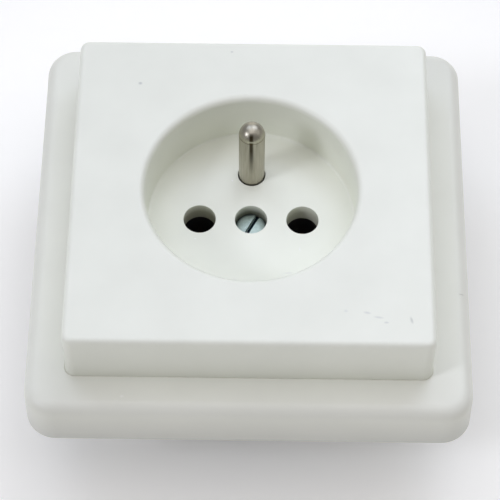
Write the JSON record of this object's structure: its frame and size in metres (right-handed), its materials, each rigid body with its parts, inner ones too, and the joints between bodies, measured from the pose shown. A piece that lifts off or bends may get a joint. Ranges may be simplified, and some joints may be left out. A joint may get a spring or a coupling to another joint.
{
  "type": "wall socket",
  "caption": "Flush-mounted mains socket with a round plug well, an earth pin, a square cover plate and frame, and its screw-fixed mechanism behind.",
  "frame": {"origin": "on the wall plane, midway between the box-screw slots of the support ring", "axes": "+Z out of the wall along the plug's way, +Y from the contact holes to the earth pin, +X to the right of someone who faces the socket"},
  "size_m": [0.08, 0.08, 0.0473],
  "materials": {
    "white_moulding": "satin, moulded",
    "black_moulding": "matt, moulded",
    "zinc_sheet": "zinc-plated, passivated",
    "zinc_screw": "zinc-plated, bluish",
    "nickel_plate": "nickel-plated, semi-bright",
    "brass": "bare, drawn",
    "bronze_strip": "rolled strip",
    "spring_steel": "rolled, tempered"
  },
  "bodies": {
    "root": {"outer_frame": "white_moulding", "cover_plate": "white_moulding", "cover_screw": "zinc_screw", "earth_pin": "nickel_plate", "support_ring": "zinc_sheet", "front_cap": "black_moulding", "base_body": "black_moulding", "cover_screw_bush": "brass", "live_contact": "bronze_strip", "neutral_contact": "bronze_strip", "live_contact_spring": "spring_steel", "neutral_contact_spring": "spring_steel", "earth_strap": "brass", "live_terminal_cage": "brass", "neutral_terminal_cage": "brass", "earth_terminal_cage": "brass", "live_terminal_screw": "zinc_screw", "neutral_terminal_screw": "zinc_screw", "earth_terminal_screw": "zinc_screw", "rivet_1": "zinc_sheet", "rivet_2": "zinc_sheet", "rivet_3": "zinc_sheet", "rivet_4": "zinc_sheet"}
  },
  "joints": []
}
